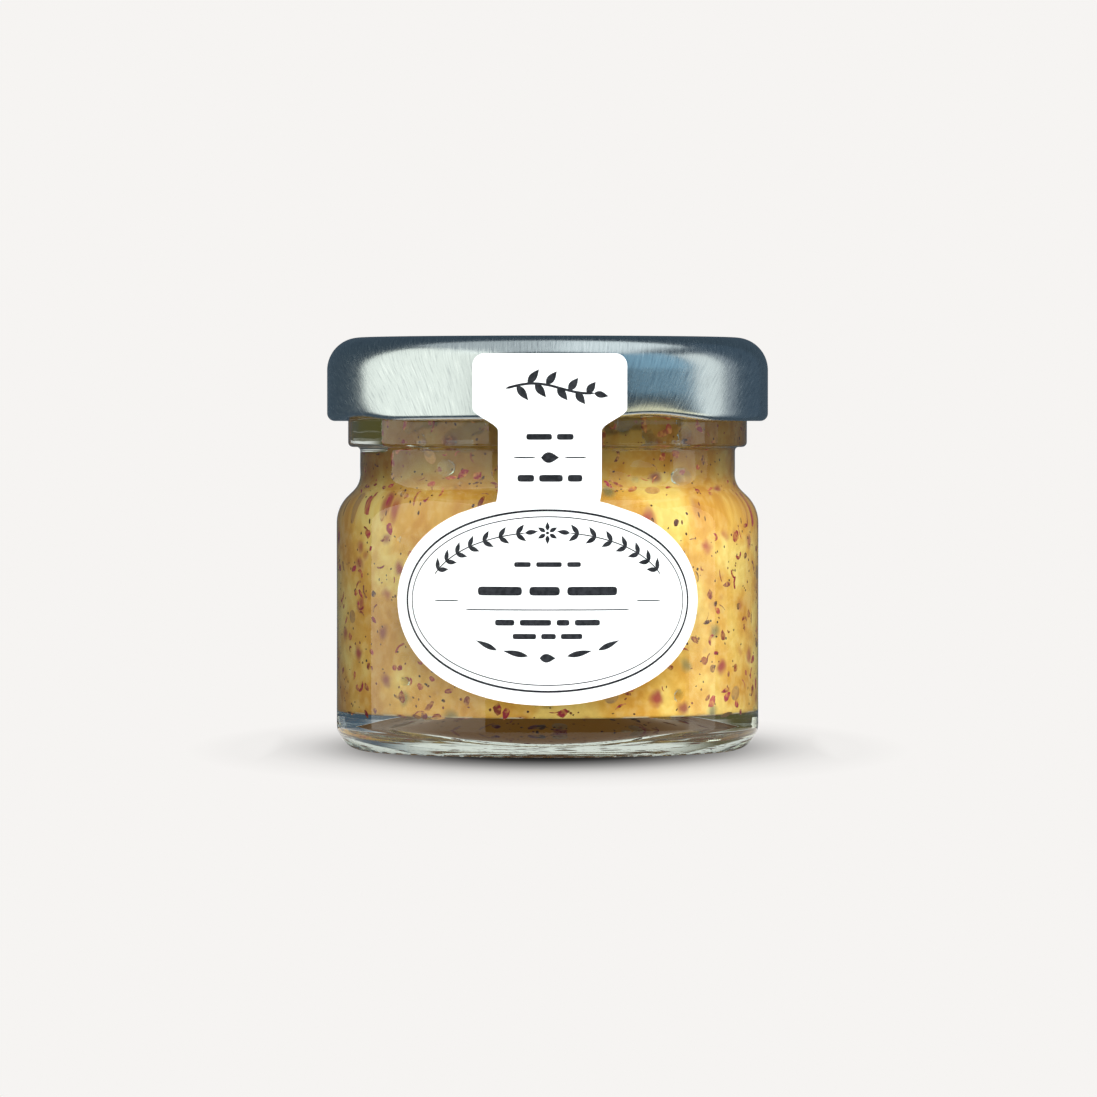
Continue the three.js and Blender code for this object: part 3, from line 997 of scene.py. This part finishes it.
# The seal: one die-cut paper from an oval on the body, up a strip, to a tab on the lid
seal = {
    "paper": 0.13, "gap": 0.03,
    "ovalHalfWidth": 16.95, "ovalHalfHeight": 10.6, "ovalCentre": 16.05,  # widths are measured round the jar
    "stripHalfWidth": 5.3, "tabHalfWidth": 8.0, "tabTop": 41.15, "tabCorner": 1.25,
    "taperBottom": 33.3, "taperTop": 35.6, "leavesBody": 24.2, "meetsLid": 35.0,
    "columns": 120, "tabShift": 0.25, "shiftBetween": (25.5, 27.5),
    # rows of the strip and tab, closer where the outline turns: from, to, and the step in millimetres
    "bands": [(25.9, 26.4, 0.08), (26.4, 33.2, 0.34), (33.2, 35.7, 0.12), (35.7, 39.6, 0.3),
              (39.6, 40.9, 0.1)],
}


def sealHalfWidth(z):
    up = (z - seal["ovalCentre"]) / seal["ovalHalfHeight"]
    oval = seal["ovalHalfWidth"] * sqrt(max(0.0, 1 - up * up))
    if z < seal["ovalCentre"]:
        return oval
    taper = smooth(z, seal["taperBottom"], seal["taperTop"])
    into = max(0.0, z - (seal["tabTop"] - seal["tabCorner"]))
    corner = seal["tabCorner"] - sqrt(max(0.0, seal["tabCorner"] ** 2 - into ** 2))
    return max(oval, mix(seal["stripHalfWidth"], seal["tabHalfWidth"], taper) - corner)


def sealPoint(across, z, lift):
    # a point of the seal from its place on the flat paper, lifted off the jar
    cornerHeight = lid["top"] - lid["round"]
    if z > cornerHeight:
        rise = z - cornerHeight
        radius = lid["radius"] - lid["round"] + sqrt((lid["round"] + lift) ** 2 - rise ** 2)
    else:
        share = min(1.0, max(0.0, (z - seal["leavesBody"]) / (seal["meetsLid"] - seal["leavesBody"])))
        radius = mix(jar["bodyRadius"], lid["radius"], share) + lift
    shifted = across + seal["tabShift"] * smooth(z, *seal["shiftBetween"])
    return around(radius, shifted / radius, z)


def sealHeights():
    centre, half, bands = seal["ovalCentre"], seal["ovalHalfHeight"], seal["bands"]
    heights = [centre - half * cos(pi * (i + 0.35) / 70.35) for i in range(58)]
    for start, end, step in bands:
        heights += [mix(start, end, share) for share in steps(ceil((end - start) / step))[:-1]]
    return heights + [mix(bands[-1][1], seal["tabTop"], sin(share * pi / 2)) for share in steps(7)]


def sealMesh():
    # back and front as two grids of points, joined round the rim
    heights = sealHeights()
    columns, rows = seal["columns"], len(heights)
    across = columns + 1
    points = []
    for lift in (seal["gap"], seal["gap"] + seal["paper"]):
        for z in heights:
            half = sealHalfWidth(z)
            points += [sealPoint(mix(-half, half, share), z, lift) for share in steps(columns)]
    cells = [row * across + column for row in range(rows - 1) for column in range(columns)]
    faces = [(a + across, a + across + 1, a + 1, a) for a in cells]
    front = rows * across
    faces += [(front + a, front + a + 1, front + a + across + 1, front + a + across) for a in cells]
    rim = [*range(columns), *range(columns, columns + (rows - 1) * across, across)]
    rim += [*range(front - 1, front - across, -1), *range((rows - 1) * across, 0, -across)]
    faces += [(a, b, b + front, a + front) for a, b in zip(rim, rim[1:] + rim[:1])]
    return points, faces, len(cells)


def paperMaterial():
    # Coated label paper: bright white, faintly cool, smooth with a trace of fibre
    material, tree = startMaterial("coated label paper")
    place = objectPlace(tree)
    fibre = bumped(tree, cloudy(tree, place, 0.12, 2.0), 0.12, 0.02)
    tone = coloured(tree, cloudy(tree, place, 6, 2.0), [(0.35, "#F3F8F9"), (0.65, "#F8FAFA")])
    return finishSurface(material, tone, 0.55, 0.3, {"Normal": fibre})


def gumMaterial():
    # The label's gummed back against the glass, painted a dull dark greyish buff: painted shade, so that it
    # throws little light back onto the paste behind the label
    return plainMaterial("gummed paper back", 1.5, 2.0, [(0.35, "#655F54"), (0.65, "#746D60")], 0.6, 0.5)


def makeSeal():
    points, faces, backFaces = sealMesh()
    piece = makePiece("paper-seal", points, faces, paperMaterial(), sharpAngle=45)
    piece.data.materials.append(gumMaterial())
    for polygon in piece.data.polygons[:backFaces]:
        polygon.material_index = 1
    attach(piece, "root")
    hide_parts("paper_seal")
    labelPieces.objects.link(piece)
    letThrough.objects.link(piece)
    letThrough.collection_objects[0].light_linking.link_state = "EXCLUDE"
    print("paper seal made", len(piece.data.polygons))


makeSeal()

# A plain printed design: border lines, leaf sprays, a flower, a twig and rows of bars
ink = {
    "height": 0.02, "sunk": 0.01,
    "border": 0.11, "innerLine": 0.055, "borderInset": 1.4, "innerInset": 2.05,  # half widths, and how far in
    "stem": 0.06, "step": 0.3,
}


def strip(parts, centre, halfWidths, closed=False):
    # a thin raised stroke along points of the flat paper, closed all round
    points, faces = parts
    first = len(points)
    count = len(centre)
    base = seal["gap"] + seal["paper"]
    for i, (x, z) in enumerate(centre):
        before = centre[i - 1] if i or closed else centre[i]
        after = centre[(i + 1) % count] if i < count - 1 or closed else centre[i]
        dx, dz = after[0] - before[0], after[1] - before[1]
        length = hypot(dx, dz) or 1.0
        nx, nz = -dz / length * halfWidths[i], dx / length * halfWidths[i]
        for side, lift in ((1, -ink["sunk"]), (-1, -ink["sunk"]), (-1, ink["height"]), (1, ink["height"])):
            points.append(sealPoint(x + nx * side, z + nz * side, base + lift))
    for i in range(count if closed else count - 1):
        a = first + i * 4
        b = first + (i + 1) % count * 4
        for k in range(4):
            m = (k + 1) % 4
            faces.append((a + k, a + m, b + m, b + k))
    if not closed:
        last = first + (count - 1) * 4
        faces.append((first + 3, first + 2, first + 1, first))
        faces.append((last, last + 1, last + 2, last + 3))


def bar(parts, x, z, length, height):
    # a bar with rounded ends
    half, count = height / 2, max(6, ceil(length / ink["step"]))
    centre = [(x + mix(-length / 2, length / 2, share), z) for share in steps(count)]
    ends = [(0.0, 0.25), (0.12, 0.66), (0.35, 0.9)]
    soft = [(x - length / 2 - half * (1 - s), z) for s, _ in ends]
    taper = [half * w for _, w in ends]
    strip(parts, soft + centre + [(2 * x - sx, sz) for sx, sz in reversed(soft)],
          taper + [half] * len(centre) + taper[::-1])


def barRow(parts, z, lengths, height, gap):
    x = -(sum(lengths) + gap * (len(lengths) - 1)) / 2
    for length in lengths:
        bar(parts, x + length / 2, z, length - height, height)
        x += length + gap


def leaf(parts, x, z, direction, length, width):
    centre = [(x + cos(direction) * length * share, z + sin(direction) * length * share)
              for share in steps(8)]
    strip(parts, centre, [max(0.02, width / 2 * sin(pi * share ** 0.8)) for share in steps(8)])


def stroke(parts, centre, half):
    strip(parts, centre, [half * (0.35 if i in (0, len(centre) - 1) else 1) for i in range(len(centre))])


def ovalPoint(insets, angle):
    # a point of an oval that lies inside the seal's by these insets, across and up
    return ((seal["ovalHalfWidth"] - insets[0]) * cos(angle),
            seal["ovalCentre"] + (seal["ovalHalfHeight"] - insets[1]) * sin(angle))


def ovalLine(parts, inset, half):
    centre = [ovalPoint((inset, inset), tau * i / 260) for i in range(260)]
    strip(parts, centre, [half] * len(centre), closed=True)


def leafWreath(parts, start, end, pairs, insets):
    # pairs of leaves along the oval, all pointing towards the end angle
    stroke(parts, [ovalPoint(insets, radians(mix(start, end, share))) for share in steps(40)], ink["stem"])
    way = copysign(1, end - start)
    across, up = seal["ovalHalfWidth"] - insets[0], seal["ovalHalfHeight"] - insets[1]
    for i in range(pairs):
        t = radians(mix(start, end, (i + 0.5) / pairs))
        along = atan2(up * cos(t) * way, -across * sin(t) * way)
        for side in (-1, 1):
            leaf(parts, *ovalPoint(insets, t), along + side * 0.75, 1.25, 0.5)
    leaf(parts, *ovalPoint(insets, radians(end)), along, 1.3, 0.5)


def flower(parts, x, z, size):
    for i in range(6):
        angle = radians(60 * i + 30)
        leaf(parts, x + cos(angle) * size * 0.3, z + sin(angle) * size * 0.3, angle, size, size * 0.5)
    bar(parts, x, z, 0.02, size * 0.34)


def sprig(parts, x, z, width, leaves, size, half):
    # a curved twig that lies across, with leaves on both sides
    stem = [(x + width * (share - 0.5), z + 0.5 * sin(share * pi * 1.6) - 0.3) for share in steps(24)]
    stroke(parts, stem, half)
    for i in range(leaves):
        at = stem[round(mix(3, 22, i / (leaves - 1)))]
        side = 1 if i % 2 else -1
        leaf(parts, *at, radians(side * 52), size * mix(1.0, 0.75, i / leaves), size * 0.42)
    leaf(parts, *stem[-1], radians(-12), size * 0.8, size * 0.36)


def inkMaterial():
    # Offset printing ink, near black, slightly glossier than the paper
    return plainMaterial("printing ink", 0.4, 1.0, [(0.35, "#191B1E"), (0.65, "#2B2D31")], 0.5, 0.2)


def makePrint():
    parts = ([], [])
    middle = seal["ovalCentre"]
    ovalLine(parts, ink["borderInset"], ink["border"])
    ovalLine(parts, ink["innerInset"], ink["innerLine"])
    for start, end in ((22, 80), (158, 100)):
        leafWreath(parts, start, end, 7, (3.9, 3.6))
    flower(parts, 0, middle + seal["ovalHalfHeight"] - 3.7, 0.85)
    barRow(parts, middle + 3.7, [1.7, 2.6, 1.4], 0.5, 0.55)
    barRow(parts, middle + 1.0, [4.6, 3.1, 5.2], 0.9, 0.75)
    stroke(parts, [(mix(-8.5, 8.5, share), middle - 0.9) for share in steps(60)], ink["stem"])
    barRow(parts, middle - 2.2, [2.0, 3.2, 1.3, 2.6], 0.6, 0.55)
    barRow(parts, middle - 3.6, [2.4, 1.5, 2.2], 0.55, 0.5)
    for side in (-1, 1):
        leaf(parts, side * 2.0, middle - 5.6, radians(90 - side * 90 + side * 12), 2.6, 0.6)
        leaf(parts, side * 5.2, middle - 5.0, radians(90 - side * 90 + side * 24), 2.4, 0.55)
        stroke(parts, [(side * mix(9.3, 12.1, share), middle) for share in steps(10)], ink["stem"])
    leaf(parts, -0.8, middle - 5.8, 0.0, 1.6, 0.9)
    leaf(parts, -0.9, 30.6, 0.0, 1.8, 1.1)
    for side in (-1, 1):
        stroke(parts, [(side * mix(1.5, 3.7, share), 30.6) for share in steps(8)], 0.07)
    barRow(parts, 32.7, [2.6, 1.7], 0.6, 0.5)
    barRow(parts, 28.5, [1.7, 2.4, 1.5], 0.7, 0.5)
    sprig(parts, 0.0, 37.9, 9.0, 8, 1.9, 0.13)
    piece = makePiece("seal-print", *parts, inkMaterial(), sharpAngle=30)
    labelPieces.objects.link(piece)
    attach(piece, "root")
    print("print made", len(piece.data.polygons))


makePrint()
